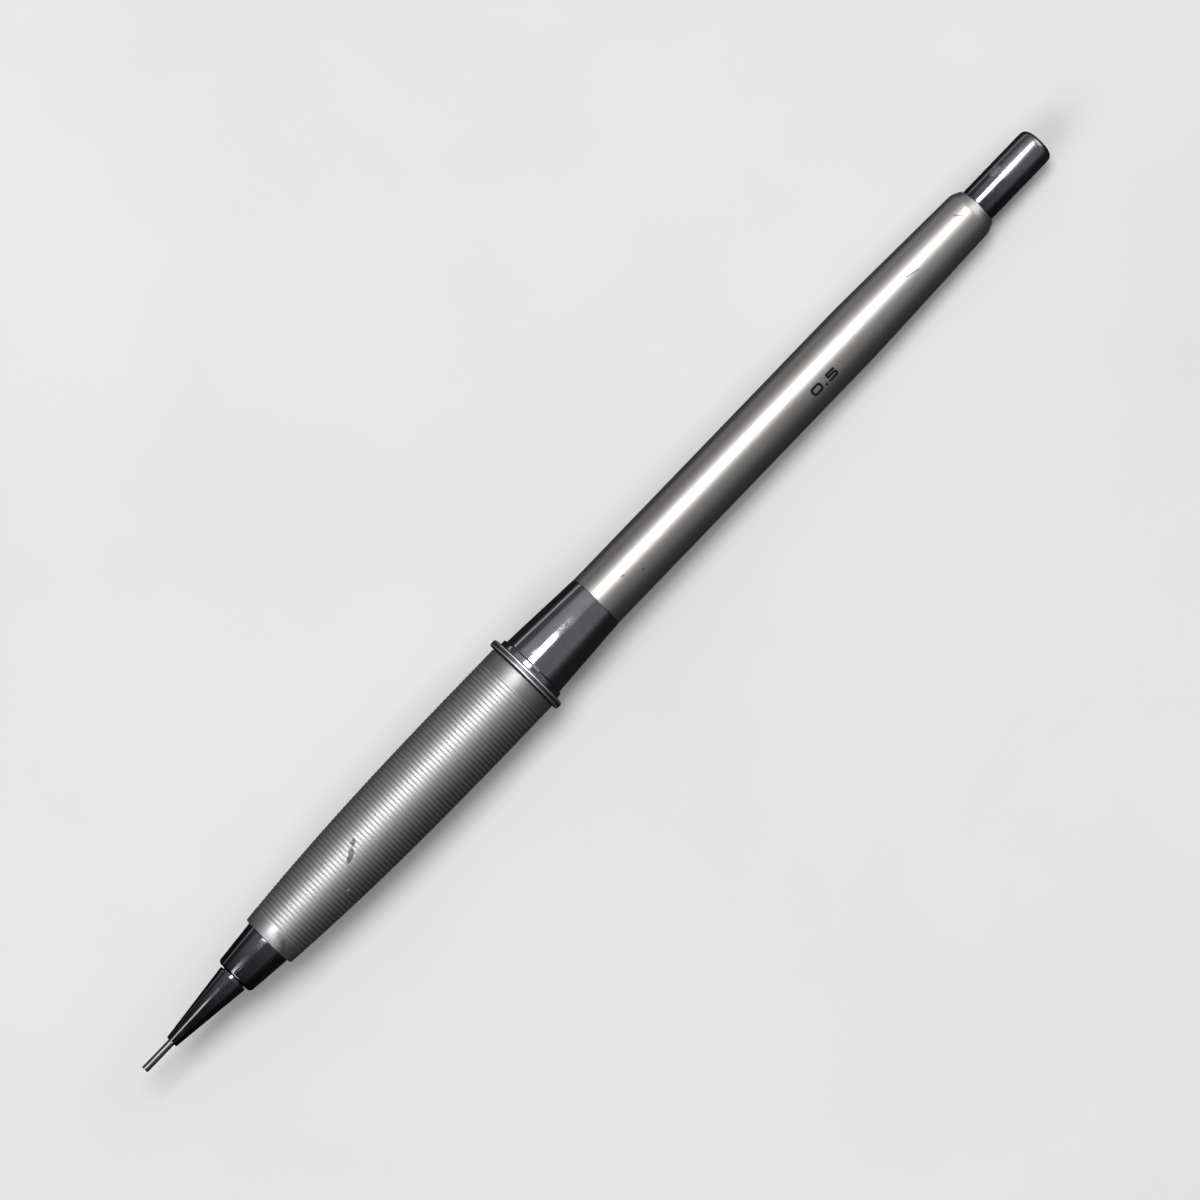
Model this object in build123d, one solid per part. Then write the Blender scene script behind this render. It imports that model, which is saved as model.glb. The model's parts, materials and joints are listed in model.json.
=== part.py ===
from build123d import *
import math
import os

# A fine-lead drafting pencil that lies along X. The writing end of the lead sleeve is at the
# origin and points along -X, the push button is at the other end, and +Z is up.
# All sizes are in millimetres, and a station is a distance along X from the writing end.

# Driving dimensions: outside stations
total_length = 142.0
sleeve_exit = 4.19
cone_end = 13.78
groove_end = 14.0
ferrule_end = 19.3
grip_end = 59.34
flange_start = 59.42
flange_end = 60.27
neck_end = 60.9
collar_end = 70.95
barrel_taper_start = 112.6
barrel_round_start = 130.65
barrel_end = 131.75

# Driving dimensions: outside radii
sleeve_radius = 0.42
cone_front_radius = 0.72
cone_rear_radius = 1.83
groove_radius = 1.45
ferrule_front_radius = 2.42
ferrule_rear_radius = 2.91
grip_largest_radius = 4.51
flange_radius = 5.10
neck_radius = 4.28
collar_front_radius = 3.98
collar_rear_radius = 3.45
barrel_radius = 3.43
barrel_tail_radius = 2.95
barrel_face_radius = 2.45
button_radius = 2.17
button_skirt_radius = 1.97

# Driving dimensions: the finger grip's swell and its fine turned grooves
grip_largest_station = 53.0
grip_swell_factor = 1.757e-4
grip_swell_power = 2.5
groove_count = 73
groove_first_station = 21.33
groove_pitch = 0.5
groove_width = 0.18
groove_depth = 0.09

# Driving dimensions: the lead and the feed
lead_radius = 0.28
lead_front = 0.35
lead_rear = 54.0
spare_lead_count = 5
spare_lead_length = 60.0
push_stroke = 3.0
tube_radius = 1.35
tube_bore_radius = 1.0
tube_end = 134.5

# Clearances
seat_gap = 0.02
lead_gap = 0.03
running_gap = 0.05
button_gap = 0.07

# Inside stations, worked out from the tip backwards
sleeve_rear = 8.95
retainer_front = 10.4
retainer_length = 3.2
spacer_recess = 0.4
cone_spigot_end = 17.0
thread_length = 6.0
spigot_end = ferrule_end + thread_length
clutch_bore_radius = 1.95
chuck_front = cone_spigot_end + push_stroke + 0.6
chuck_land = 0.6
chuck_cone_length = 2.0
clutch_length = 2.2
clutch_front = chuck_front + chuck_land + 0.1
guide_front = clutch_front + clutch_length + 0.3
guide_wall = 1.2
guide_end = 34.5
spring_front = guide_front + guide_wall
spring_length = 6.5
connector_front = spring_front + spring_length
connector_head_length = 2.5
connector_spigot_length = 4.0
tube_front = connector_front + connector_head_length + running_gap
core_front = spigot_end + 0.5
core_end = 66.0
coupler_front = 63.0
coupler_end = 79.0
bore_step = 112.0
mouth_start = 129.5
bush_front = 119.0
bush_end = 124.0
button_front = bush_end + push_stroke + 0.5
button_step = barrel_end + 0.1
button_bore_end = 140.3
pin_front = 122.0
pin_end = 133.5
eraser_plug_front = 131.5
eraser_front = 134.97
eraser_cup_end = 136.6
eraser_end = 139.4

# Inside radii
thread_radius = 2.40
core_radius = 2.58
coupler_radius = 2.95
barrel_bore_radius = 2.50
tail_bore_radius = 2.30
chuck_head_radius = 1.35
chuck_neck_radius = 1.00
shank_radius = 0.85
guide_bore_radius = 1.75
connector_radius = 1.60
spring_wire_radius = 0.15
spring_mean_radius = 1.30
spring_turns = 8
button_bore_radius = 1.75
retainer_radius = 0.88
spacer_radius = 3.85
shank_way_radius = 0.45
tube_way_radius = 1.7
clutch_radius = 1.8
pin_radius = 0.2
eraser_radius = 1.15


def turned(outline):
    """Solid of revolution about X. Each outline point is (station, radius) or has a corner rounding as a third."""
    points = [(point[0], point[1]) for point in outline]
    roundings = [point[2] if len(point) > 2 else 0 for point in outline]
    edge = FilletPolyline(*points, radius=roundings, close=True)
    return revolve(make_face(edge), axis=Axis.X)


def along_x(shape, station, height=0.0, side=0.0):
    """Turn a shape made along +Z so that it runs along +X, with its start at a station."""
    return Pos(station, side, height) * Rot(0, 90, 0) * shape


def ring(start, end, inner, outer, rounding=0.0):
    """Plain ring or tube, with its outer corners rounded."""
    return turned([(start, inner), (start, outer, rounding), (end, outer, rounding), (end, inner)])


def threaded_edge(start, end, radius, pitch=0.5, depth=0.12):
    """Outline of a fine thread, drawn as a row of rings, from one station to another."""
    points = []
    for turn in range(int((end - start) / pitch)):
        crest = start + turn * pitch
        points.append((crest, radius))
        points.append((crest + 0.4 * pitch, radius))
        points.append((crest + 0.7 * pitch, radius - depth))
    points.append((end, radius))
    return points


def grip_radius(station):
    """Radius of the finger grip, which swells from the tip end and is largest near its rear."""
    distance = abs(grip_largest_station - station)
    return grip_largest_radius - grip_swell_factor * distance**grip_swell_power


# Tip unit, which screws out of the front of the grip


def lead_sleeve():
    bore = lead_radius + lead_gap
    return turned(
        [
            (0.0, bore),
            (0.0, sleeve_radius, 0.08),
            (sleeve_rear, sleeve_radius),
            (sleeve_rear, bore),
        ]
    )


def tip_cone():
    retainer_bore = retainer_radius + seat_gap
    lead_hole = lead_radius + button_gap
    return turned(
        [
            (sleeve_exit, sleeve_radius),
            (sleeve_exit, cone_front_radius, 0.1),
            (cone_end, cone_rear_radius, 0.08),
            (cone_end, groove_radius),
            (cone_spigot_end, groove_radius),
            (cone_spigot_end, retainer_bore),
            (retainer_front, retainer_bore),
            (retainer_front, lead_hole),
            (sleeve_rear, lead_hole),
            (sleeve_rear, sleeve_radius),
        ]
    )


def lead_retainer():
    funnel = 0.6
    front = retainer_front + running_gap
    rear = front + retainer_length
    return turned(
        [
            (front, lead_radius + lead_gap),
            (front, retainer_radius, 0.1),
            (rear, retainer_radius, 0.1),
            (rear, funnel),
            (rear - funnel, lead_radius + lead_gap),
        ]
    )


def nose_ferrule():
    chamfer = 0.25
    relief = 0.15
    relief_end = ferrule_end + 0.6
    outline = [
        (groove_end, groove_radius + seat_gap),
        (groove_end, ferrule_front_radius - chamfer),
        (groove_end + chamfer, ferrule_front_radius, 0.1),
        (ferrule_end, ferrule_rear_radius, 0.08),
        (ferrule_end, thread_radius - relief),
        (relief_end, thread_radius - relief),
    ]
    outline += threaded_edge(relief_end, spigot_end - chamfer, thread_radius)
    outline += [
        (spigot_end, thread_radius - chamfer),
        (spigot_end, clutch_bore_radius),
        (cone_spigot_end, clutch_bore_radius),
        (cone_spigot_end, groove_radius + seat_gap),
    ]
    return turned(outline)


# Body: grip, spacer, collar, barrel and what they hold


def grip_sleeve():
    outline = [
        (ferrule_end + running_gap, thread_radius + running_gap),
        (ferrule_end + running_gap, grip_radius(ferrule_end), 0.12),
    ]
    for groove in range(groove_count):
        bottom = groove_first_station + groove * groove_pitch
        lip_front = bottom - groove_width / 2
        lip_rear = bottom + groove_width / 2
        outline.append((lip_front, grip_radius(lip_front)))
        outline.append((bottom, grip_radius(bottom) - groove_depth))
        outline.append((lip_rear, grip_radius(lip_rear)))
    outline += [
        (grip_end, grip_radius(grip_end), 0.15),
        (grip_end, core_radius + seat_gap),
        (core_front, core_radius + seat_gap),
        (core_front, thread_radius + running_gap),
    ]
    return turned(outline)


def grip_core():
    return ring(core_front + running_gap, core_end, clutch_bore_radius, core_radius)


def chuck_guide():
    step = core_front + running_gap
    shank_bore = shank_radius + 0.13
    free_radius = clutch_bore_radius - button_gap
    seated_radius = clutch_bore_radius - seat_gap
    return turned(
        [
            (guide_front, shank_bore),
            (guide_front, free_radius, 0.1),
            (step, free_radius),
            (step, seated_radius),
            (guide_end, seated_radius),
            (guide_end, guide_bore_radius),
            (spring_front, guide_bore_radius),
            (spring_front, shank_bore),
        ]
    )


def return_spring():
    pitch = (spring_length - 2 * spring_wire_radius) / spring_turns
    path = Helix(pitch=pitch, height=pitch * spring_turns, radius=spring_mean_radius)
    section = Plane(origin=path @ 0, z_dir=path % 0) * Circle(spring_wire_radius)
    wire = sweep(section, path=path, is_frenet=True)
    return along_x(wire, spring_front + spring_wire_radius)


def spacer_ring():
    rear = flange_start + spacer_recess - seat_gap
    return ring(grip_end + seat_gap, rear, core_radius + seat_gap, spacer_radius, 0.05)


def collar():
    neck_fall = neck_radius - collar_front_radius
    recess_radius = spacer_radius + seat_gap
    recess_end = flange_start + spacer_recess
    return turned(
        [
            (recess_end, core_radius + seat_gap),
            (recess_end, recess_radius),
            (flange_start, recess_radius),
            (flange_start, flange_radius, 0.2),
            (flange_end, flange_radius, 0.2),
            (flange_end, neck_radius),
            (neck_end, neck_radius, 0.1),
            (neck_end + neck_fall / 2, collar_front_radius),
            (collar_end, collar_rear_radius, 0.05),
            (collar_end, coupler_radius + seat_gap),
            (coupler_front - seat_gap, coupler_radius + seat_gap),
            (coupler_front - seat_gap, core_radius + seat_gap),
        ]
    )


def barrel_coupler():
    return turned(
        [
            (coupler_front, core_radius + seat_gap),
            (coupler_front, coupler_radius),
            (coupler_end, coupler_radius, 0.2),
            (coupler_end, tube_way_radius),
            (core_end + seat_gap, tube_way_radius),
            (core_end + seat_gap, core_radius + seat_gap),
        ]
    )


def barrel_tube():
    mouth_radius = button_radius + button_gap
    return turned(
        [
            (collar_end + seat_gap, coupler_radius + seat_gap),
            (collar_end + seat_gap, barrel_radius, 0.06),
            (barrel_taper_start, barrel_radius, 60.0),
            (barrel_round_start, barrel_tail_radius, 1.2),
            (barrel_end, barrel_face_radius, 0.15),
            (barrel_end, mouth_radius),
            (mouth_start, mouth_radius),
            (mouth_start, tail_bore_radius),
            (bore_step, tail_bore_radius),
            (bore_step, barrel_bore_radius),
            (coupler_end + running_gap, barrel_bore_radius),
            (coupler_end + running_gap, coupler_radius + seat_gap),
        ]
    )


def tail_bush():
    return ring(bush_front, bush_end, tube_radius + 0.08, tail_bore_radius - seat_gap, 0.2)


# Clutch ring, which closes the chuck and stops against the tip unit


def clutch_ring():
    cone_slope = (chuck_head_radius - chuck_neck_radius) / chuck_cone_length
    cone_start = chuck_front + chuck_land
    wide = chuck_head_radius - cone_slope * (clutch_front - cone_start) + running_gap
    narrow = chuck_neck_radius + running_gap
    return turned(
        [
            (clutch_front, wide),
            (clutch_front, clutch_radius, 0.15),
            (clutch_front + clutch_length, clutch_radius, 0.15),
            (clutch_front + clutch_length, narrow),
            (cone_start + chuck_cone_length, narrow),
        ]
    )


# Feed unit, which the push button moves: chuck, connector, lead tube and spare leads


def chuck():
    jaw_count = 3
    slit_width = 0.22
    slit_length = 9.0
    slit_depth = 2.0
    jaw_bore_end = chuck_front + 3.6
    shank_end = connector_front + connector_head_length
    cone_start = chuck_front + chuck_land
    blank = turned(
        [
            (chuck_front, lead_radius + lead_gap),
            (chuck_front, chuck_head_radius, 0.12),
            (cone_start, chuck_head_radius),
            (cone_start + chuck_cone_length, chuck_neck_radius),
            (cone_start + chuck_cone_length, shank_radius),
            (shank_end, shank_radius),
            (shank_end, shank_way_radius),
            (jaw_bore_end + 0.4, shank_way_radius),
            (jaw_bore_end, lead_radius + lead_gap),
        ]
    )
    slit = Pos(chuck_front + slit_length / 2, 0, slit_depth / 2) * Box(slit_length, slit_width, slit_depth)
    for jaw in range(jaw_count):
        blank -= Rot(360 / jaw_count * jaw, 0, 0) * slit
    return blank


def chuck_connector():
    head_end = connector_front + connector_head_length
    spigot_radius = tube_bore_radius - seat_gap
    return turned(
        [
            (connector_front, shank_radius + seat_gap),
            (connector_front, connector_radius, 0.12),
            (head_end, connector_radius, 0.12),
            (head_end, spigot_radius),
            (head_end + connector_spigot_length, spigot_radius, 0.15),
            (head_end + connector_spigot_length, shank_way_radius),
            (head_end + seat_gap, shank_way_radius),
            (head_end + seat_gap, shank_radius + seat_gap),
        ]
    )


def lead_tube():
    return ring(tube_front, tube_end, tube_bore_radius, tube_radius, 0.08)


def spare_leads():
    bunch_radius = 0.66
    stagger = 0.7
    leads = []
    for lead in range(spare_lead_count):
        angle = 2 * math.pi * lead / spare_lead_count
        stick = Cylinder(lead_radius, spare_lead_length, align=(Align.CENTER, Align.CENTER, Align.MIN))
        start = lead_rear + 2.0 + stagger * lead
        leads.append(along_x(stick, start, bunch_radius * math.cos(angle), bunch_radius * math.sin(angle)))
    return Compound(children=leads)


def writing_lead():
    return turned([(lead_front, 0.0), (lead_front, lead_radius, 0.08), (lead_rear, lead_radius), (lead_rear, 0.0)])


# Eraser unit, which plugs the rear of the lead tube


def cleaning_pin():
    point_length = 0.5
    return turned(
        [(pin_front, 0.0), (pin_front + point_length, pin_radius), (pin_end, pin_radius), (pin_end, 0.0)]
    )


def eraser_ferrule():
    plug_radius = tube_bore_radius - running_gap
    flange = tube_end + running_gap
    cup_radius = eraser_radius + seat_gap
    return turned(
        [
            (eraser_plug_front, pin_radius),
            (eraser_plug_front, plug_radius, 0.15),
            (flange, plug_radius),
            (flange, tube_radius, 0.06),
            (eraser_cup_end, tube_radius, 0.06),
            (eraser_cup_end, cup_radius),
            (eraser_front - seat_gap, cup_radius),
            (eraser_front - seat_gap, 0.0),
            (pin_end + seat_gap, 0.0),
            (pin_end + seat_gap, pin_radius),
        ]
    )


def eraser():
    return turned(
        [(eraser_front, 0.0), (eraser_front, eraser_radius), (eraser_end, eraser_radius, 0.25), (eraser_end, 0.0)]
    )


# Push button, which pulls off the lead tube


def push_button():
    dome_rise = 0.25
    return turned(
        [
            (button_front, button_bore_radius),
            (button_front, button_skirt_radius, 0.1),
            (button_step, button_skirt_radius),
            (button_step, button_radius),
            (total_length - dome_rise, button_radius, 0.9),
            (total_length, 0.0),
            (button_bore_end, 0.0),
            (button_bore_end, button_bore_radius),
        ]
    )


def button_liner():
    front = button_front + 0.5
    rear = tube_end - 0.3
    return ring(front, rear, tube_radius + 2 * seat_gap, button_bore_radius - seat_gap, 0.1)


nodes = [
    lead_sleeve,
    tip_cone,
    lead_retainer,
    nose_ferrule,
    grip_sleeve,
    grip_core,
    chuck_guide,
    return_spring,
    spacer_ring,
    collar,
    barrel_coupler,
    barrel_tube,
    tail_bush,
    clutch_ring,
    chuck,
    chuck_connector,
    lead_tube,
    spare_leads,
    writing_lead,
    cleaning_pin,
    eraser_ferrule,
    eraser,
    push_button,
    button_liner,
]

os.makedirs("parts", exist_ok=True)
for node in nodes:
    export_step(node(), f"parts/{node.__name__}.step")
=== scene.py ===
import json
import math
import bpy
import bmesh
from mathutils import Matrix, Vector


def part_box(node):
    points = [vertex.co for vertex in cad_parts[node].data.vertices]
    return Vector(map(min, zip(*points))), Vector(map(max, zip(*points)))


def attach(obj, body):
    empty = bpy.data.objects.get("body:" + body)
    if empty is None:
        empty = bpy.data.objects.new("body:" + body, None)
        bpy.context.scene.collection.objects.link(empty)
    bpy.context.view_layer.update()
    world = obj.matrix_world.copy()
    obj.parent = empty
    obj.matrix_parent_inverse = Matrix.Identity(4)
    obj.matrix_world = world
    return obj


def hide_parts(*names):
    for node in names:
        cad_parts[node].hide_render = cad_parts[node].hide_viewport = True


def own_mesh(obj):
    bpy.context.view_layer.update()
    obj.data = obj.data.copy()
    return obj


# A fine-lead drafting pencil along +X, in metres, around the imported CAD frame.

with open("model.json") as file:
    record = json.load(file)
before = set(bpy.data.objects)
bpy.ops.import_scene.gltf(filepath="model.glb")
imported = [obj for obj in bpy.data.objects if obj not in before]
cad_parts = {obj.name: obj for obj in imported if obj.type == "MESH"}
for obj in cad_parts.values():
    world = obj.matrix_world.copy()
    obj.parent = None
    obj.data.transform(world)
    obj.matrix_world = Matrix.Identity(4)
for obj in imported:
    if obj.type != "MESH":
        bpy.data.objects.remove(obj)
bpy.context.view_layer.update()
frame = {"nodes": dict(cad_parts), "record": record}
BOX = {node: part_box(node) for node in frame["nodes"]}

MM = 0.001
AROUND = 192            # facets round a turned piece
GRIP_AROUND = 96        # fewer round the grip, which has many rows
ARC_STEPS = 6           # steps on a rounded corner
FINE_STEPS = 2          # steps on a corner that is rounded by no more than FINE_ROUNDING
FINE_ROUNDING = 0.06 * MM


def edge(node, side):
    """Station of a CAD node's front (0) or rear (1) end along the pencil."""
    return BOX[node][side].x


def radius(node):
    """Largest radius of a CAD node."""
    return BOX[node][1].z


FLANGE_WIDTH = 0.85 * MM
GROOVE_COUNT = 73
GROOVE_PITCH = 0.5 * MM
GROOVE_FIRST = edge("grip_sleeve", 0) + 1.98 * MM
GRIP_LARGEST = edge("grip_sleeve", 0) + 33.65 * MM
GRIP_FALL = 1.757e-4    # mm of radius lost at 1 mm from the largest place


def grip_radius(station):
    """The grip swells from the tip end and is largest near its rear, as its CAD node does."""
    distance = abs(GRIP_LARGEST - station) / MM
    return radius("grip_sleeve") - GRIP_FALL * distance**2.5 * MM


TAPER_START = edge("barrel_tube", 0) + 41.6 * MM
TAPER_END = edge("barrel_tube", 1) - 1.1 * MM
TAIL_RADIUS = 2.95 * MM


def barrel_radius(station):
    """The barrel is straight at first, then tapers towards the button."""
    share = (station - TAPER_START) / (TAPER_END - TAPER_START)
    outer = radius("barrel_tube")
    return outer - (outer - TAIL_RADIUS) * min(max(share, 0.0), 1.0)


def on_top(station, side, local_radius):
    """A point on the upper side of a round piece, at a distance towards +Y from its crest."""
    return (station, side, math.sqrt(local_radius**2 - side**2))


# ---------------------------------------------------------------- mesh helpers


def rounded(outline, closed=True):
    """Replace each (station, radius, rounding) corner of an outline with a short arc."""
    points = []
    count = len(outline)
    for i, corner in enumerate(outline):
        here = Vector(corner[:2])
        rounding = corner[2] if len(corner) > 2 else 0.0
        ends = not closed and i in (0, count - 1)
        if rounding <= 0.0 or ends:
            points.append(here)
            continue
        before = (Vector(outline[i - 1][:2]) - here)
        after = (Vector(outline[(i + 1) % count][:2]) - here)
        turn = before.angle(after)
        reach = min(rounding / math.tan(turn / 2), 0.48 * before.length, 0.48 * after.length)
        start = here + before.normalized() * reach
        finish = here + after.normalized() * reach
        steps = FINE_STEPS if rounding <= FINE_ROUNDING else ARC_STEPS
        for step in range(steps + 1):
            t = step / steps
            points.append(start * (1 - t) ** 2 + here * 2 * t * (1 - t) + finish * t * t)
    return points


def mesh_object(name, vertices, faces, smooth=True):
    mesh = bpy.data.meshes.new(name)
    mesh.from_pydata(vertices, [], faces)
    mesh.validate()
    if smooth:
        mesh.shade_smooth()
    piece = bpy.data.objects.new(name, mesh)
    bpy.context.scene.collection.objects.link(piece)
    return piece


def turned(name, outline, around=AROUND, sharp=30.0):
    """Closed piece turned about X from an outline of (station, radius, rounding) corners."""
    profile = rounded(outline)
    on_axis = [p.y < 1e-7 for p in profile]
    vertices = []
    rows = []
    for point, axial in zip(profile, on_axis):
        if axial:
            rows.append([len(vertices)] * around)
            vertices.append((point.x, 0.0, 0.0))
            continue
        rows.append(list(range(len(vertices), len(vertices) + around)))
        for k in range(around):
            angle = 2 * math.pi * k / around
            vertices.append((point.x, point.y * math.sin(angle), point.y * math.cos(angle)))
    faces = []
    for i in range(len(profile)):
        j = (i + 1) % len(profile)
        if on_axis[i] and on_axis[j]:
            continue
        for k in range(around):
            m = (k + 1) % around
            corners = [rows[i][k], rows[j][k], rows[j][m], rows[i][m]]
            face = [c for n, c in enumerate(corners) if c not in corners[:n]]
            faces.append(face)
    piece = mesh_object(name, vertices, faces)
    work = bmesh.new()
    work.from_mesh(piece.data)
    bmesh.ops.recalc_face_normals(work, faces=work.faces)
    for line in work.edges:
        if len(line.link_faces) == 2 and line.calc_face_angle(0.0) > math.radians(sharp):
            line.smooth = False
    work.to_mesh(piece.data)
    work.free()
    return piece


def fit(piece, body, slot, material, *replaced):
    """Put a finished piece on its body in place of its CAD nodes, with its material; its slot is not
    used.
    """
    piece.data.materials.clear()
    piece.data.materials.append(material)
    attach(piece, body)
    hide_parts(*replaced)


# ---------------------------------------------------------------- material helpers


class Surface:
    """A procedural material. Its textures follow the piece in row-frame metres."""

    def __init__(self, name, color, metallic, roughness):
        self.material = bpy.data.materials.new(name)
        self.material.use_nodes = True
        self.tree = self.material.node_tree
        self.shader = self.tree.nodes["Principled BSDF"]
        self.place = self.add("ShaderNodeTexCoord").outputs["Object"]
        self.shader.inputs["Base Color"].default_value = (*color, 1.0)
        self.shader.inputs["Metallic"].default_value = metallic
        self.shader.inputs["Roughness"].default_value = roughness
        self.normal = None

    def add(self, kind):
        return self.tree.nodes.new(kind)

    def put(self, value, socket):
        if isinstance(value, (int, float, tuple)):
            socket.default_value = value
        else:
            self.tree.links.new(value, socket)

    def math(self, operation, first, second=0.0, third=0.0):
        node = self.add("ShaderNodeMath")
        node.operation = operation
        for socket, value in zip(node.inputs, (first, second, third)):
            self.put(value, socket)
        return node.outputs[0]

    def between(self, value, low, high, new_low=0.0, new_high=1.0, smooth=False):
        node = self.add("ShaderNodeMapRange")
        node.interpolation_type = "SMOOTHSTEP" if smooth else "LINEAR"
        limits = {"From Min": low, "From Max": high, "To Min": new_low, "To Max": new_high}
        for name, number in limits.items():
            node.inputs[name].default_value = number
        self.put(value, node.inputs["Value"])
        return node.outputs["Result"]

    def stretched(self, scales, turn=(0.0, 0.0, 0.0)):
        node = self.add("ShaderNodeMapping")
        node.inputs["Scale"].default_value = scales
        node.inputs["Rotation"].default_value = turn
        self.put(self.place, node.inputs["Vector"])
        return node.outputs["Vector"]

    def noise(self, scales, detail=2.0, roughness=0.5, turn=(0.0, 0.0, 0.0), distortion=0.0):
        """Noise whose features are 1/scale metres long along each axis."""
        node = self.add("ShaderNodeTexNoise")
        node.inputs["Scale"].default_value = 1.0
        node.inputs["Detail"].default_value = detail
        node.inputs["Roughness"].default_value = roughness
        node.inputs["Distortion"].default_value = distortion
        self.put(self.stretched(scales, turn), node.inputs["Vector"])
        return node.outputs["Fac"]

    def scratches(self, length, width, turn, share=0.02):
        """Mask of thin scratches: a long stretched noise, kept only near one level."""
        field = self.noise((1 / length, 1 / width, 1 / width), 1.0, 0.4, turn, 0.3)
        level = self.math("ABSOLUTE", self.math("SUBTRACT", field, 0.5))
        line = self.between(level, 0.0, share, 1.0, 0.0, smooth=True)
        patches = self.noise((1 / length, 2 / length, 2 / length), 1.0, 0.5, turn)
        return self.math("MULTIPLY", line, self.between(patches, 0.52, 0.62, smooth=True))

    def station(self):
        node = self.add("ShaderNodeSeparateXYZ")
        self.put(self.place, node.inputs[0])
        return node.outputs["X"]

    def streak(self, start, finish, width, ragged=0.3, grain=0.0004):
        """Mask of one mark: 1 on the line from start to finish, 0 past about its width."""
        line = Vector(finish) - Vector(start)
        away = self.vector("SUBTRACT", self.place, tuple(start))
        along = self.vector("DOT_PRODUCT", away, tuple(line))
        along = self.math("DIVIDE", along, line.length_squared)
        along = self.math("MINIMUM", self.math("MAXIMUM", along, 0.0), 1.0)
        nearest = self.vector("SCALE", tuple(line), along)
        distance = self.vector("LENGTH", self.vector("SUBTRACT", away, nearest))
        wander = self.math("SUBTRACT", self.noise((1 / grain,) * 3), 0.5)
        distance = self.math("MULTIPLY_ADD", wander, 4 * ragged * width, distance)
        return self.between(distance, 0.5 * width, width, 1.0, 0.0, smooth=True)

    def vector(self, operation, first, second=None):
        node = self.add("ShaderNodeVectorMath")
        node.operation = operation
        self.put(first, node.inputs[0])
        if second is not None:
            self.put(second, node.inputs["Scale" if operation == "SCALE" else 1])
        single = operation in ("LENGTH", "DOT_PRODUCT")
        return node.outputs["Value" if single else "Vector"]

    def color(self, mask, other):
        """Mix the present colour towards another one where the mask is 1."""
        node = self.add("ShaderNodeMix")
        node.data_type = "RGBA"
        socket = self.shader.inputs["Base Color"]
        if socket.is_linked:
            self.put(socket.links[0].from_socket, node.inputs[6])
        else:
            node.inputs[6].default_value = socket.default_value[:]
        self.put(mask, node.inputs[0])
        node.inputs[7].default_value = (*other, 1.0)
        self.put(node.outputs[2], socket)

    def roughness(self, mask, low, high):
        """Roughness that runs from low where the mask is 0 to high where it is 1."""
        self.put(self.between(mask, 0.0, 1.0, low, high), self.shader.inputs["Roughness"])

    def bump(self, height, depth, strength=1.0):
        node = self.add("ShaderNodeBump")
        node.inputs["Distance"].default_value = depth
        node.inputs["Strength"].default_value = strength
        self.put(height, node.inputs["Height"])
        if self.normal is not None:
            self.put(self.normal, node.inputs["Normal"])
        self.normal = node.outputs["Normal"]
        self.put(self.normal, self.shader.inputs["Normal"])


# ---------------------------------------------------------------- materials


def barrel_metal():
    """Satin aluminium with a fine drawn grain, a few nicks and hairlines."""
    s = Surface("barrel_metal", (0.475, 0.466, 0.453), 1.0, 0.39)
    grain = s.noise((1 / 0.0016, 1 / 0.00011, 1 / 0.00011), 3.0, 0.65)
    cloud = s.noise((1 / 0.012, 1 / 0.005, 1 / 0.005), 2.0)
    hairs = s.scratches(0.009, 0.0005, (0.1, 0.3, 0.25), 0.012)
    s.color(s.between(grain, 0.30, 0.75), (0.40, 0.385, 0.365))
    s.color(s.between(cloud, 0.55, 0.80, 0.0, 0.35), (0.36, 0.345, 0.33))
    s.color(s.math("MULTIPLY", hairs, 0.45), (0.24, 0.23, 0.22))
    nicks = (
        ((74.7, -0.1), (75.0, -0.2), 0.12),
        ((76.9, -1.2), (77.0, -1.3), 0.13),
        ((120.2, 0.2), (121.8, -0.2), 0.10),
        ((128.9, 1.1), (129.4, 0.5), 0.14),
    )
    for start, finish, width in nicks:
        ends = [on_top(x * MM, y * MM, barrel_radius(x * MM)) for x, y in (start, finish)]
        s.color(s.math("MULTIPLY", s.streak(*ends, width * MM, 0.2), 0.8), (0.14, 0.13, 0.125))
    s.roughness(s.between(grain, 0.25, 0.80), 0.37, 0.45)
    s.bump(grain, 0.0000016)
    s.bump(hairs, -0.000002)
    return s.material


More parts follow.
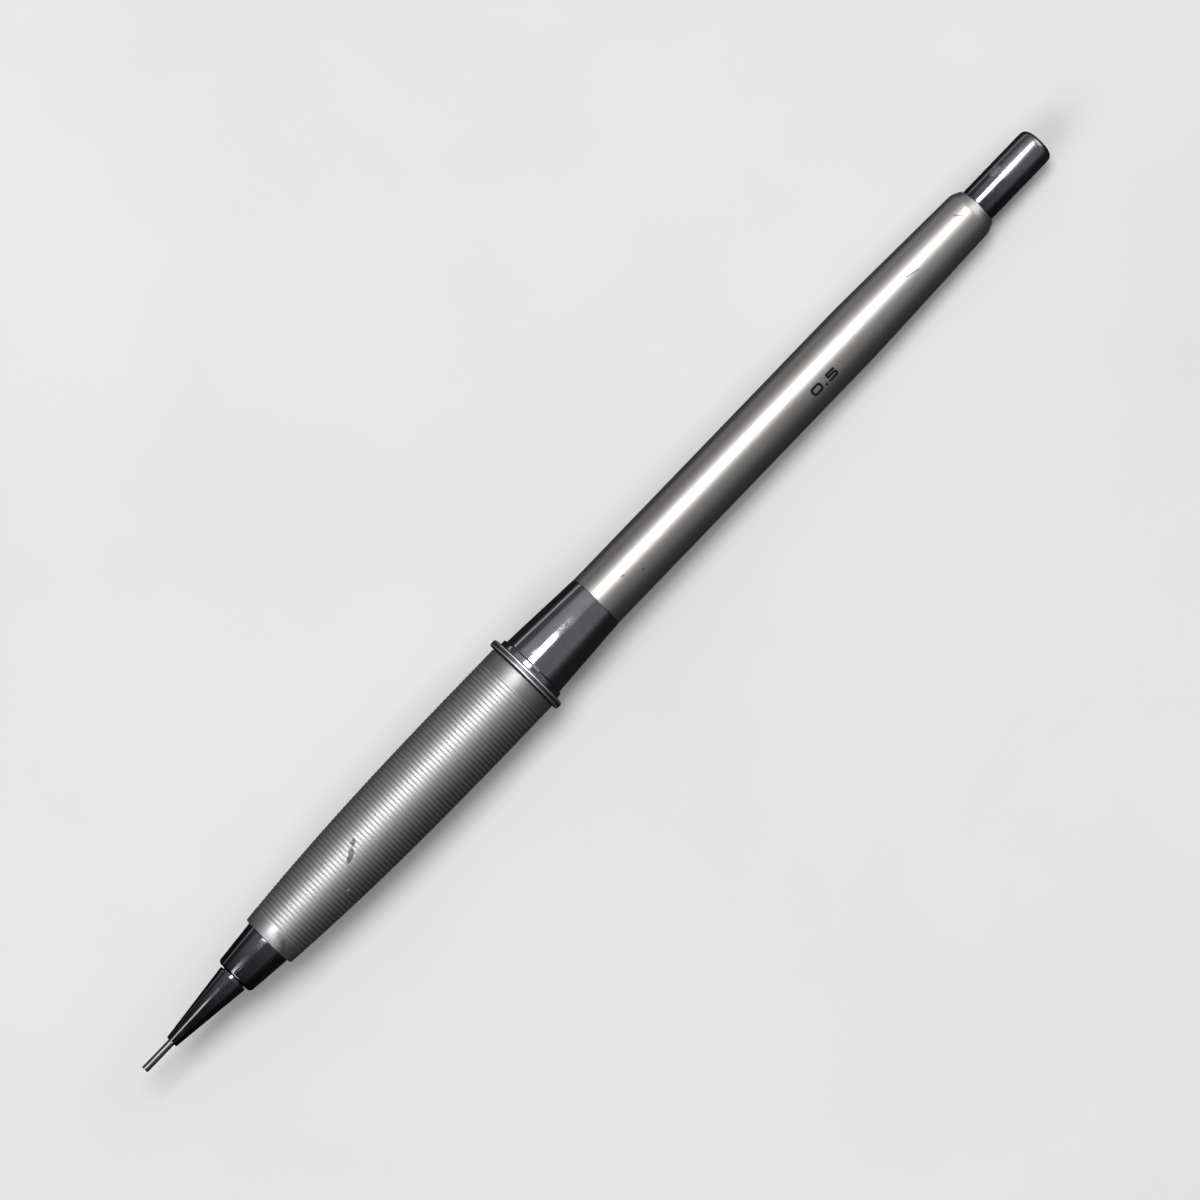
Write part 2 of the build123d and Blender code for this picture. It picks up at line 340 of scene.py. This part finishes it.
def grip_metal():
    """Turned aluminium: fine rings, a grey smear, and darker grooves whose darkening is weighted as
    painted shade towards the −Y side.
    """
    s = Surface("grip_metal", (0.445, 0.441, 0.442), 1.0, 0.48)
    rings = s.noise((1 / 0.00005, 1 / 0.02, 1 / 0.02), 3.0, 0.7)
    mottle = s.noise((1 / 0.0010, 1 / 0.0007, 1 / 0.0007), 3.0, 0.6)
    s.color(s.between(rings, 0.3, 0.75), (0.405, 0.402, 0.402))
    s.color(s.between(mottle, 0.52, 0.85, 0.0, 0.5), (0.33, 0.327, 0.327))
    place = s.math("DIVIDE", s.math("SUBTRACT", s.station(), GROOVE_FIRST), GROOVE_PITCH)
    from_groove = s.math("ABSOLUTE", s.math("SUBTRACT", place, s.math("ROUND", place)))
    from_middle = s.math("ABSOLUTE", s.math("SUBTRACT", place, (GROOVE_COUNT - 1) / 2))
    in_rows = s.math("LESS_THAN", from_middle, GROOVE_COUNT / 2)
    across = s.vector("DOT_PRODUCT", s.place, (0.0, 1.0, 0.0))
    # Painted shade: the groove darkening is heavier towards −Y, the side away from the key light, and
    # lighter towards +Y.
    painted_side_shade = s.between(across, -3.2 * MM, 0.8 * MM, 0.85, 0.26)
    groove_dark_and_side_shade = s.math("MULTIPLY", s.between(from_groove, 0.06, 0.20, 1.0, 0.0), painted_side_shade)
    s.color(s.math("MULTIPLY", groove_dark_and_side_shade, in_rows), (0.09, 0.088, 0.085))
    s.color(s.math("SUBTRACT", 1.0, in_rows), (0.335, 0.332, 0.335))

    def mark(start, finish, width, ragged):
        """Mask of a mark whose ends are (mm behind the grip's front, mm towards +Y)."""
        ends = []
        for behind, side in (start, finish):
            station = edge("grip_sleeve", 0) + behind * MM
            ends.append(on_top(station, side * MM, grip_radius(station)))
        return s.streak(*ends, width * MM, ragged)

    broken = s.between(s.noise((1 / 0.0005,) * 3, 2.0), 0.38, 0.58, 0.55, 0.95)
    smear = mark((12.5, -0.2), (14.4, 0.95), 0.34, 0.6)
    s.color(s.math("MULTIPLY", smear, broken), (0.085, 0.085, 0.09))
    shade = mark((0.4, -1.9), (1.2, -1.2), 0.40, 0.5)
    s.color(s.math("MULTIPLY", shade, 0.6), (0.16, 0.155, 0.165))
    scuff = mark((0.4, -0.8), (1.3, 0.6), 0.62, 0.5)
    s.color(s.math("MULTIPLY", scuff, 0.9), (0.47, 0.455, 0.50))
    nick = mark((10.0, -2.4), (10.2, -2.4), 0.16, 0.2)
    s.color(nick, (0.80, 0.80, 0.80))
    s.roughness(s.between(rings, 0.25, 0.80), 0.44, 0.56)
    s.bump(rings, 0.000002)
    s.bump(mottle, 0.000002)
    return s.material


def bright_plate(name, color, smooth, dull, waviness):
    """Plated and polished metal: faint turning rings, finger marks, hairlines and shallow waves."""
    s = Surface(name, color, 1.0, smooth)
    worn = tuple(0.72 * c for c in color)
    rings = s.noise((1 / 0.00006, 1 / 0.03, 1 / 0.03), 2.0, 0.6)
    touch = s.noise((1 / 0.0022, 1 / 0.0016, 1 / 0.0016), 4.0, 0.6, distortion=0.6)
    waves = s.noise((1 / 0.0030, 1 / 0.0020, 1 / 0.0020), 1.0)
    hairs = s.scratches(0.004, 0.00030, (0.2, 0.5, 0.6), 0.02)
    s.color(s.between(touch, 0.48, 0.78, 0.0, 0.6), worn)
    s.color(s.math("MULTIPLY", hairs, 0.5), tuple(0.4 * c for c in color))
    s.roughness(s.between(touch, 0.40, 0.72), smooth, dull)
    s.bump(waves, waviness)
    s.bump(rings, 0.0000006)
    s.bump(hairs, -0.0000015)
    return s


def chrome_trim():
    """Bright plate, with pitted wear on the flange's rim and a painted highlight, speckled like rubbed
    metal, along both its corners.
    """
    s = bright_plate("chrome_trim", (0.295, 0.287, 0.308), 0.07, 0.18, 0.000008)
    middle = edge("collar", 0) + FLANGE_WIDTH / 2
    away = s.math("ABSOLUTE", s.math("SUBTRACT", s.station(), middle))
    rim = s.between(away, 0.40 * MM, 0.46 * MM, 1.0, 0.0)
    inside = s.between(away, 0.17 * MM, 0.21 * MM)
    corners = s.math("MULTIPLY", inside, s.between(away, 0.30 * MM, 0.36 * MM, 1.0, 0.0))
    speckle = s.noise((1 / 0.00020,) * 3, 3.0, 0.7)
    pits = s.math("MULTIPLY", rim, s.between(speckle, 0.52, 0.62))
    rubbed_highlight = s.math("MULTIPLY", corners, s.between(speckle, 0.22, 0.42))
    s.color(rim, (0.110, 0.107, 0.114))
    s.color(s.math("MULTIPLY", pits, 0.5), (0.30, 0.29, 0.31))
    # Painted highlight: speckled bright bands on both flange corners stand in for light reflected along
    # its edges.
    s.color(rubbed_highlight, (0.80, 0.79, 0.81))
    fingered = s.between(s.noise((1 / 0.0018,) * 3, 3.0), 0.4, 0.8, 0.0, 0.25)
    s.roughness(s.math("MAXIMUM", rim, fingered), 0.07, 0.45)
    return s.material


def button_chrome():
    """Dark plate, dented by use, with a dull scuffed patch and a broken line of scrapes painted bright
    along the crest, partly a painted highlight.
    """
    s = bright_plate("button_chrome", (0.225, 0.225, 0.245), 0.10, 0.24, 0.000030)
    scuffs = s.noise((1 / 0.0012, 1 / 0.00035, 1 / 0.00035), 4.0, 0.7, (0.0, 0.0, 0.3))
    speckle = s.noise((1 / 0.00030,) * 3, 3.0, 0.7)
    s.color(s.between(scuffs, 0.58, 0.70, 0.0, 0.7), (0.42, 0.42, 0.44))
    rear = edge("push_button", 1)
    top = radius("push_button")
    side, height = 0.6 * top, 0.8 * top
    patch_ends = (rear - 6.6 * MM, side, height), (rear - 5.8 * MM, side, height)
    patch = s.streak(*patch_ends, 0.50 * MM, 0.35)
    # Partly painted highlight: the broken bright scrape line lies along the crest where the key light's
    # reflection runs.
    scrape_highlight_ends = (rear - 4.8 * MM, 0.2 * top, top), (rear - 1.0 * MM, 0.2 * top, top)
    scrape_highlight = s.streak(*scrape_highlight_ends, 0.22 * MM, 0.2)
    scrape_highlight = s.math("MULTIPLY", scrape_highlight, s.between(speckle, 0.45, 0.55))
    s.color(s.math("MULTIPLY", patch, 0.8), (0.34, 0.34, 0.38))
    s.color(scrape_highlight, (0.70, 0.70, 0.72))
    dulled = s.between(s.station(), rear - 7.0 * MM, rear - 5.5 * MM, 0.0, 0.40, smooth=True)
    worn = s.math("MAXIMUM", dulled, s.math("MAXIMUM", patch, scrape_highlight))
    s.roughness(s.math("MAXIMUM", worn, s.between(scuffs, 0.45, 0.80, 0.0, 0.4)), 0.10, 0.45)
    return s.material


def steel(name, color, low, high):
    """Drawn stainless steel, brushed along its length."""
    s = Surface(name, color, 1.0, low)
    brushed = s.noise((1 / 0.003, 1 / 0.00005, 1 / 0.00005), 3.0, 0.7)
    s.color(s.between(brushed, 0.35, 0.75), tuple(0.7 * c for c in color))
    s.roughness(s.between(brushed, 0.25, 0.80), low, high)
    s.bump(brushed, 0.0000015)
    return s.material


def brass():
    """Machined brass with tool rings and a dull, slightly brown tarnish."""
    s = Surface("brass", (0.60, 0.42, 0.17), 1.0, 0.26)
    rings = s.noise((1 / 0.00005, 1 / 0.02, 1 / 0.02), 3.0, 0.7)
    tarnish = s.noise((1 / 0.0025,) * 3, 4.0, 0.6)
    s.color(s.between(rings, 0.35, 0.75), (0.50, 0.345, 0.135))
    s.color(s.between(tarnish, 0.48, 0.75, 0.0, 0.7), (0.34, 0.215, 0.085))
    s.roughness(s.between(tarnish, 0.35, 0.75), 0.22, 0.42)
    s.bump(rings, 0.000003)
    return s.material


def plastic(name, color, shade, low, high):
    """Moulded plastic with a faint flow pattern and fine texture."""
    s = Surface(name, color, 0.0, low)
    flow = s.noise((1 / 0.004, 1 / 0.0015, 1 / 0.0015), 3.0, 0.5, distortion=0.8)
    texture = s.noise((1 / 0.00012,) * 3, 2.0, 0.6)
    s.color(s.between(flow, 0.40, 0.72), shade)
    s.roughness(s.between(texture, 0.30, 0.70), low, high)
    s.bump(texture, 0.000003)
    return s.material


def graphite():
    s = Surface("graphite", (0.055, 0.055, 0.060), 0.55, 0.38)
    layers = s.noise((1 / 0.0010, 1 / 0.00006, 1 / 0.00006), 3.0, 0.7)
    s.color(s.between(layers, 0.40, 0.70), (0.020, 0.020, 0.022))
    s.roughness(s.between(layers, 0.30, 0.70), 0.32, 0.55)
    s.bump(layers, 0.000003)
    return s.material


def eraser_rubber():
    """White rubber, a little grey where it has been used, with fine pits."""
    s = Surface("eraser_rubber", (0.80, 0.785, 0.75), 0.0, 0.80)
    pits = s.noise((1 / 0.00016,) * 3, 3.0, 0.7)
    use = s.noise((1 / 0.0011,) * 3, 3.0, 0.6)
    end = s.between(s.station(), edge("eraser", 1) - 0.0012, edge("eraser", 1), smooth=True)
    s.color(s.between(use, 0.45, 0.80, 0.0, 0.5), (0.68, 0.665, 0.63))
    s.color(s.math("MULTIPLY", end, s.between(use, 0.35, 0.70)), (0.30, 0.30, 0.30))
    s.roughness(pits, 0.72, 0.92)
    s.bump(pits, 0.000012)
    return s.material


def printed_ink():
    s = Surface("printed_ink", (0.008, 0.008, 0.009), 0.0, 0.65)
    s.shader.inputs["Specular IOR Level"].default_value = 0.08
    wear = s.noise((1 / 0.00018,) * 3, 3.0, 0.6)
    s.color(s.between(wear, 0.64, 0.80, 0.0, 0.5), (0.10, 0.095, 0.09))
    s.roughness(wear, 0.55, 0.80)
    s.bump(wear, 0.000002)
    return s.material


FINISH = {
    "barrel_metal": barrel_metal(),
    "grip_metal": grip_metal(),
    "chrome_trim": chrome_trim(),
    "button_chrome": button_chrome(),
    "sleeve_steel": steel("sleeve_steel", (0.30, 0.29, 0.285), 0.26, 0.42),
    "spring_steel": steel("spring_steel", (0.52, 0.53, 0.55), 0.18, 0.32),
    "brass": brass(),
    "tube_plastic": plastic("tube_plastic", (0.060, 0.060, 0.065), (0.085, 0.084, 0.086), 0.24, 0.38),
    "black_plastic": plastic("black_plastic", (0.020, 0.020, 0.022), (0.035, 0.034, 0.033), 0.34, 0.50),
    "black_rubber": plastic("black_rubber", (0.014, 0.014, 0.014), (0.028, 0.027, 0.026), 0.70, 0.90),
    "graphite": graphite(),
    "eraser_rubber": eraser_rubber(),
}

# ---------------------------------------------------------------- tip unit


def lead_sleeve():
    front, rear = edge("lead_sleeve", 0), edge("lead_sleeve", 1)
    outer = radius("lead_sleeve")
    bore = 0.74 * outer
    return turned(
        "sleeve",
        [(front, bore, 0.03 * MM), (front, outer, 0.10 * MM), (rear, outer), (rear, bore)],
    )


def tip_cone():
    front, rear = edge("tip_cone", 0), edge("tip_cone", 1)
    shoulder = edge("nose_ferrule", 0) - 0.22 * MM
    sleeve = radius("lead_sleeve")
    spigot = 1.45 * MM
    return turned(
        "cone",
        [
            (front, sleeve),
            (front, 0.72 * MM, 0.10 * MM),
            (shoulder, radius("tip_cone"), 0.12 * MM),
            (shoulder, spigot),
            (rear, spigot),
            (rear, sleeve),
        ],
    )


def thread(outline, start, finish, crest, pitch=0.5 * MM, depth=0.12 * MM):
    """Add a fine thread to an outline, as a row of rings."""
    for turn in range(int((finish - start) / pitch)):
        place = start + turn * pitch
        outline += [(place, crest, 0.02 * MM), (place + 0.4 * pitch, crest, 0.02 * MM)]
        outline.append((place + 0.7 * pitch, crest - depth))


def nose_ferrule():
    front, rear = edge("nose_ferrule", 0), edge("nose_ferrule", 1)
    shoulder = edge("grip_sleeve", 0) - 0.05 * MM
    face = 2.42 * MM
    crest = 2.40 * MM
    bore = 1.47 * MM
    outline = [
        (front, bore),
        (front, face - 0.25 * MM, 0.05 * MM),
        (front + 0.25 * MM, face, 0.12 * MM),
        (shoulder, radius("nose_ferrule"), 0.10 * MM),
        (shoulder, crest - 0.15 * MM),
        (shoulder + 0.6 * MM, crest - 0.15 * MM),
    ]
    thread(outline, shoulder + 0.6 * MM, rear - 0.3 * MM, crest)
    outline += [(rear, crest - 0.2 * MM, 0.08 * MM), (rear, 1.95 * MM, 0.05 * MM)]
    outline += [(edge("tip_cone", 1), 1.95 * MM), (edge("tip_cone", 1), bore)]
    return turned("ferrule", outline)


def writing_lead():
    front, rear = edge("writing_lead", 0), edge("writing_lead", 1)
    outer = radius("writing_lead")
    worn = (front + 0.16 * MM, outer, 0.06 * MM)
    return turned(
        "lead_in_use",
        [(front, 0.0), (front, 0.5 * outer, 0.03 * MM), worn, (rear, outer), (rear, 0.0)],
        64,
    )


# ---------------------------------------------------------------- body


def grip_sleeve():
    front, rear = edge("grip_sleeve", 0), edge("grip_sleeve", 1)
    bore = radius("grip_core")
    width = 0.16 * MM
    depth = 0.06 * MM
    outline = [(front, bore), (front, grip_radius(front), 0.14 * MM)]
    for groove in range(GROOVE_COUNT):
        bottom = GROOVE_FIRST + groove * GROOVE_PITCH
        corners = ((-0.5, 0, 0.05), (-0.12, 1, 0.02), (0.12, 1, 0.02), (0.5, 0, 0.05))
        for station, drop, rounding in corners:
            place = bottom + station * width
            outline.append((place, grip_radius(place) - drop * depth, rounding * MM))
    outline += [(rear, grip_radius(rear), 0.18 * MM), (rear, bore)]
    return turned("grip", outline, GRIP_AROUND)


def spacer_ring():
    front, rear = edge("spacer_ring", 0), edge("spacer_ring", 1)
    inner = radius("grip_core")
    outer = radius("spacer_ring")
    return turned(
        "spacer",
        [(front, inner), (front, outer, 0.04 * MM), (rear, outer, 0.04 * MM), (rear, inner)],
    )


def collar():
    front, rear = edge("collar", 0), edge("collar", 1)
    flange = radius("collar")
    flange_rear = front + FLANGE_WIDTH
    neck_rear = flange_rear + 0.63 * MM
    recess = radius("spacer_ring") + 0.02 * MM
    recess_rear = edge("spacer_ring", 1) + 0.02 * MM
    inner = radius("grip_core")
    bore = radius("barrel_coupler")
    neck = 4.28 * MM
    fall = 0.30 * MM
    step = edge("barrel_coupler", 0)
    return turned(
        "collar_trim",
        [
            (recess_rear, inner),
            (recess_rear, recess),
            (front, recess, 0.05 * MM),
            (front, flange, 0.22 * MM),
            (flange_rear, flange, 0.22 * MM),
            (flange_rear, neck, 0.12 * MM),
            (neck_rear, neck, 0.12 * MM),
            (neck_rear + fall / 2, neck - fall, 0.08 * MM),
            (rear, 3.45 * MM, 0.06 * MM),
            (rear, bore),
            (step, bore),
            (step, inner),
        ],
    )


def barrel_tube():
    front, rear = edge("barrel_tube", 0), edge("barrel_tube", 1)
    outer = radius("barrel_tube")
    bore = 2.50 * MM
    mouth = radius("push_button") + 0.07 * MM
    mouth_front = rear - 2.25 * MM
    return turned(
        "barrel",
        [
            (front, bore),
            (front, outer, 0.07 * MM),
            (TAPER_START, outer, 60 * MM),
            (TAPER_END, TAIL_RADIUS, 1.2 * MM),
            (rear, 2.45 * MM, 0.15 * MM),
            (rear, mouth, 0.04 * MM),
            (mouth_front, mouth),
            (mouth_front, 2.30 * MM),
            (TAPER_START, 2.30 * MM),
            (TAPER_START, bore),
        ],
    )


def return_spring():
    """Round wire wound in a helix, with closed ends."""
    low, high = BOX["return_spring"]
    wire = 0.15 * MM
    coil = high.z - wire
    turns = 8
    steps = 40 * turns
    around = 16
    length = high.x - low.x - 2 * wire
    vertices = []
    faces = []
    slope = math.atan2(length / turns, 2 * math.pi * coil)
    for i in range(steps + 1):
        turn = 2 * math.pi * turns * i / steps
        out = Vector((0.0, math.sin(turn), math.cos(turn)))
        ring = Vector((0.0, math.cos(turn), -math.sin(turn)))
        along = Vector((math.sin(slope), 0.0, 0.0)) + ring * math.cos(slope)
        side = along.cross(out)
        centre = Vector((low.x + wire + length * i / steps, 0.0, 0.0)) + out * coil
        for k in range(around):
            angle = 2 * math.pi * k / around
            vertices.append(centre + (out * math.cos(angle) + side * math.sin(angle)) * wire)
    for i in range(steps):
        for k in range(around):
            m = (k + 1) % around
            here, there = i * around, (i + 1) * around
            faces.append((here + k, there + k, there + m, here + m))
    faces.append(tuple(range(around)))
    faces.append(tuple(range((steps + 1) * around - 1, steps * around - 1, -1)))
    return mesh_object("spring", vertices, faces)


# ---------------------------------------------------------------- rear end


def push_button():
    front, rear = edge("push_button", 0), edge("push_button", 1)
    outer = radius("push_button")
    skirt = 1.97 * MM
    bore = 1.75 * MM
    step = edge("barrel_tube", 1) + 0.1 * MM
    bottom = rear - 1.7 * MM
    return turned(
        "button",
        [
            (front, bore),
            (front, skirt, 0.10 * MM),
            (step, skirt),
            (step, outer, 0.05 * MM),
            (rear - 0.25 * MM, outer, 0.9 * MM),
            (rear, 0.0),
            (bottom, 0.0),
            (bottom, bore),
        ],
    )


def lead_tube():
    front, rear = edge("lead_tube", 0), edge("lead_tube", 1)
    outer = radius("lead_tube")
    bore = 1.0 * MM
    return turned(
        "tube",
        [(front, bore), (front, outer, 0.08 * MM), (rear, outer, 0.08 * MM), (rear, bore, 0.05 * MM)],
    )


def eraser_ferrule():
    front, rear = edge("eraser_ferrule", 0), edge("eraser_ferrule", 1)
    outer = radius("eraser_ferrule")
    plug = 0.95 * MM
    flange = edge("lead_tube", 1) + 0.05 * MM
    wall = radius("eraser") + 0.02 * MM
    crimp = rear - 0.9 * MM
    return turned(
        "eraser_cup",
        [
            (front, 0.0),
            (front, plug, 0.15 * MM),
            (flange, plug),
            (flange, outer, 0.06 * MM),
            (crimp - 0.2 * MM, outer, 0.05 * MM),
            (crimp, outer - 0.06 * MM, 0.05 * MM),
            (crimp + 0.2 * MM, outer, 0.05 * MM),
            (rear, outer, 0.06 * MM),
            (rear, wall),
            (edge("eraser", 0), wall),
            (edge("eraser", 0), 0.0),
        ],
    )


def eraser():
    front, rear = edge("eraser", 0), edge("eraser", 1)
    outer = radius("eraser")
    return turned("rubber", [(front, 0.0), (front, outer), (rear, outer, 0.32 * MM), (rear, 0.0)], 96)


def cleaning_pin():
    front, rear = edge("cleaning_pin", 0), edge("cleaning_pin", 1)
    outer = radius("cleaning_pin")
    return turned(
        "pin",
        [(front, 0.0), (front + 0.5 * MM, outer, 0.1 * MM), (rear, outer), (rear, 0.0)],
        48,
    )


TURNED = {
    "lead_sleeve": lead_sleeve,
    "tip_cone": tip_cone,
    "nose_ferrule": nose_ferrule,
    "writing_lead": writing_lead,
    "grip_sleeve": grip_sleeve,
    "spacer_ring": spacer_ring,
    "collar": collar,
    "barrel_tube": barrel_tube,
    "return_spring": return_spring,
    "push_button": push_button,
    "lead_tube": lead_tube,
    "eraser_ferrule": eraser_ferrule,
    "eraser": eraser,
    "cleaning_pin": cleaning_pin,
}

behaviour = frame["record"]["behaviour"]
BODY = {node: body for body, nodes in behaviour["bodies"].items() for node in nodes}
SLOT = {part["node"]: part["material_slot"] for part in frame["record"]["subparts"]}

for node, make in TURNED.items():
    fit(make(), BODY[node], SLOT[node], FINISH[SLOT[node]], node)
for node, carried in frame["nodes"].items():
    if node not in TURNED:
        carried.data.materials.clear()
        carried.data.materials.append(FINISH[SLOT[node]])
        carried.data.shade_smooth()

# ---------------------------------------------------------------- printed lead size


DIGIT_HEIGHT = 1.10 * MM
STROKE = 0.30 * MM


def stroke_path(corners, closed):
    """Centre line of one pen stroke, with its corners rounded and its straights divided."""
    points = rounded(corners, closed)
    if closed:
        points.append(points[0].copy())
    divided = [points[0]]
    for start, finish in zip(points, points[1:]):
        parts = max(1, math.ceil((finish - start).length / (0.07 * MM)))
        divided += [start.lerp(finish, n / parts) for n in range(1, parts + 1)]
    return divided


def on_barrel(point, depth):
    """A point of the flat print, bent round the barrel where the print is read."""
    outer = radius("barrel_tube") + depth
    start = edge("barrel_tube", 0) + 32.7 * MM
    angle = math.radians(22.8) - (point.y - DIGIT_HEIGHT / 2) / radius("barrel_tube")
    return Vector((start + point.x, -outer * math.sin(angle), outer * math.cos(angle)))


def ink_stroke(corners, closed, vertices, faces):
    """Add one stroke of ink to a mesh: a thin closed band that stands just proud of the metal."""
    path = stroke_path(corners, closed)
    base = len(vertices)
    last = len(path) - 1
    for i, point in enumerate(path):
        before = path[i - 1] if i else (path[-2] if closed else point)
        after = path[i + 1] if i < last else (path[1] if closed else point)
        side = (after - before).orthogonal().normalized() * STROKE / 2
        proud, sunk = 0.005 * MM, -0.02 * MM
        for offset, depth in ((side, proud), (-side, proud), (-side, sunk), (side, sunk)):
            vertices.append(on_barrel(point + offset, depth))
    for i in range(last):
        for k in range(4):
            m = (k + 1) % 4
            here, there = base + 4 * i, base + 4 * (i + 1)
            faces.append((here + k, there + k, there + m, here + m))
    if not closed:
        faces.append(tuple(base + k for k in range(4)))
        faces.append(tuple(base + 4 * last + k for k in (3, 2, 1, 0)))


def printed_size():
    """The lead's width in millimetres, in wide squared numerals."""
    low, high = STROKE / 2, DIGIT_HEIGHT - STROKE / 2
    middle = DIGIT_HEIGHT / 2 + 0.04 * MM
    turn = 0.26 * MM
    left, right = STROKE / 2, 1.52 * MM - STROKE / 2
    nought = [(left, low, turn), (left, high, turn), (right, high, turn), (right, low, turn)]
    dot = [(1.79 * MM, low), (2.09 * MM, low)]
    left, right = 2.40 * MM + STROKE / 2, 3.82 * MM - STROKE / 2
    five = [
        (right + 0.06 * MM, high),
        (left, high, 0.03 * MM),
        (left, middle, 0.03 * MM),
        (right, middle, turn),
        (right, low, turn),
        (left - STROKE / 2, low),
    ]
    vertices = []
    faces = []
    ink_stroke(nought, True, vertices, faces)
    ink_stroke(dot, False, vertices, faces)
    ink_stroke(five, False, vertices, faces)
    piece = mesh_object("size_mark", vertices, faces, smooth=False)
    work = bmesh.new()
    work.from_mesh(piece.data)
    bmesh.ops.remove_doubles(work, verts=work.verts, dist=0.0005 * MM)
    bmesh.ops.recalc_face_normals(work, faces=work.faces)
    work.to_mesh(piece.data)
    work.free()
    piece.data.materials.append(printed_ink())
    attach(piece, BODY["barrel_tube"])


printed_size()

# ---------------------------------------------------------------- the spring's own mesh

spring = bpy.data.objects["spring"]
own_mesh(spring)

# ---------------------------------------------------------------- floor, light and camera


def floor():
    """Pale matt surface that the pencil lies on, touching the flange and the barrel's tail."""
    flange = edge("collar", 0) + 0.45 * MM
    slope = (radius("collar") - TAIL_RADIUS) / (TAPER_END - flange)
    reach = 1.5
    cells = 24
    steps = [reach * (2 * i / cells - 1) for i in range(cells + 1)]
    vertices = [(flange + x, y, slope * x - radius("collar")) for x in steps for y in steps]
    faces = []
    for i in range(cells):
        for k in range(cells):
            corner = i * (cells + 1) + k
            faces.append((corner, corner + cells + 1, corner + cells + 2, corner + 1))
    plane = mesh_object("floor", vertices, faces, smooth=False)
    s = Surface("floor_paint", (0.64, 0.636, 0.63), 0.0, 0.75)
    tone = s.noise((1 / 0.05,) * 3, 3.0, 0.6)
    s.color(s.between(tone, 0.35, 0.75), (0.61, 0.606, 0.60))
    s.roughness(tone, 0.70, 0.80)
    plane.data.materials.append(s.material)
    plane.visible_glossy = False    # the metal mirrors the dim room below, not the pale floor


def soft_light(name, place, size_across, size_along, radiance, aim=(0.07, 0.0, 0.0)):
    """Rectangular soft box that faces the pencil. Radiance is what a mirror would show of it."""
    data = bpy.data.lights.new(name, "AREA")
    data.shape = "RECTANGLE"
    data.size = size_along
    data.size_y = size_across
    data.energy = radiance * math.pi * size_across * size_along
    lamp = bpy.data.objects.new(name, data)
    bpy.context.scene.collection.objects.link(lamp)
    back = (Vector(place) - Vector(aim)).normalized()
    along = Vector((1, 0, 0)) if abs(back.x) < 0.7 else Vector((0, 1, 0))
    along = (along - back * along.dot(back)).normalized()
    across = back.cross(along)
    lamp.matrix_world = Matrix((along, across, back)).transposed().to_4x4()
    lamp.location = place
    return lamp


def round_the_pencil(degrees, distance, station=0.07):
    """A place beside the pencil: degrees from straight up towards +Y, at a distance from the axis."""
    angle = math.radians(degrees)
    return (station, distance * math.sin(angle), distance * math.cos(angle))


def studio_world():
    """Dim room round the pencil: grey above, dark below, and a thin bright line at the far side."""
    world = bpy.data.worlds.new("studio")
    world.use_nodes = True
    tree = world.node_tree
    place = tree.nodes.new("ShaderNodeTexCoord")
    parts = tree.nodes.new("ShaderNodeSeparateXYZ")
    tree.links.new(place.outputs["Generated"], parts.inputs[0])
    turn = tree.nodes.new("ShaderNodeMath")
    turn.operation = "ARCTAN2"
    tree.links.new(parts.outputs["Y"], turn.inputs[0])
    tree.links.new(parts.outputs["Z"], turn.inputs[1])
    share = tree.nodes.new("ShaderNodeMapRange")
    share.inputs["From Min"].default_value = -math.pi
    share.inputs["From Max"].default_value = math.pi
    tree.links.new(turn.outputs[0], share.inputs["Value"])
    ramp = tree.nodes.new("ShaderNodeValToRGB")
    tree.links.new(share.outputs["Result"], ramp.inputs["Fac"])
    near_side = ((-180, 0.02), (-85, 0.035), (-70, 0.08), (-52, 0.32))
    overhead = ((0, 0.33), (9, 0.6), (33, 0.7), (62, 0.55))
    far_side = ((74, 0.16), (94, 0.14), (97, 1.0), (101, 1.0), (105, 0.12), (118, 0.03))
    stops = near_side + overhead + far_side
    while len(ramp.color_ramp.elements) < len(stops):
        ramp.color_ramp.elements.new(0.5)
    for element, (degrees, radiance) in zip(ramp.color_ramp.elements, stops):
        element.position = (degrees + 180) / 360
        element.color = (radiance, radiance, 1.04 * radiance, 1.0)
    length = tree.nodes.new("ShaderNodeMapRange")
    dim_ahead = {"From Min": -0.28, "From Max": 0.14, "To Min": 0.08, "To Max": 1.0}
    for name, value in dim_ahead.items():
        length.inputs[name].default_value = value
    tree.links.new(parts.outputs["X"], length.inputs["Value"])
    background = tree.nodes["Background"]
    tree.links.new(ramp.outputs["Color"], background.inputs["Color"])
    tree.links.new(length.outputs["Result"], background.inputs["Strength"])
    bpy.context.scene.world = world


floor()
studio_world()
soft_light("key", round_the_pencil(18.2, 1.4, 0.19), 0.50, 0.66, 11.5)
soft_light("key_edge", round_the_pencil(7.0, 1.5, 0.12), 0.20, 0.55, 2.2)
soft_light("front_strip", round_the_pencil(24.0, 1.4, -0.53), 0.40, 0.34, 1.7)
soft_light("front_end", (-1.3, 0.0, 0.9), 1.0, 1.0, 4.5)
soft_light("rear_end", (1.4, 0.0, 0.9), 1.0, 1.0, 2.2)
bpy.context.scene.view_settings.view_transform = "Standard"

camera_place = Vector((40.9, -0.2, 493.8)) * MM
camera_target = Vector((71.4, -0.2, 0.0)) * MM
camera_roll = math.radians(46.06)

camera_data = bpy.data.cameras.new("camera")
camera_data.lens = 135.0
camera_data.sensor_width = 36.0
camera_data.clip_start = 0.01
camera_data.clip_end = 20.0
camera = bpy.data.objects.new("camera", camera_data)
bpy.context.scene.collection.objects.link(camera)
back = (camera_place - camera_target).normalized()
along = Vector((1, 0, 0))
along = (along - back * along.dot(back)).normalized()
across = back.cross(along)
right = math.cos(camera_roll) * along - math.sin(camera_roll) * across
up = math.sin(camera_roll) * along + math.cos(camera_roll) * across
camera.matrix_world = Matrix((right, up, back)).transposed().to_4x4()
camera.location = camera_place
bpy.context.scene.camera = camera
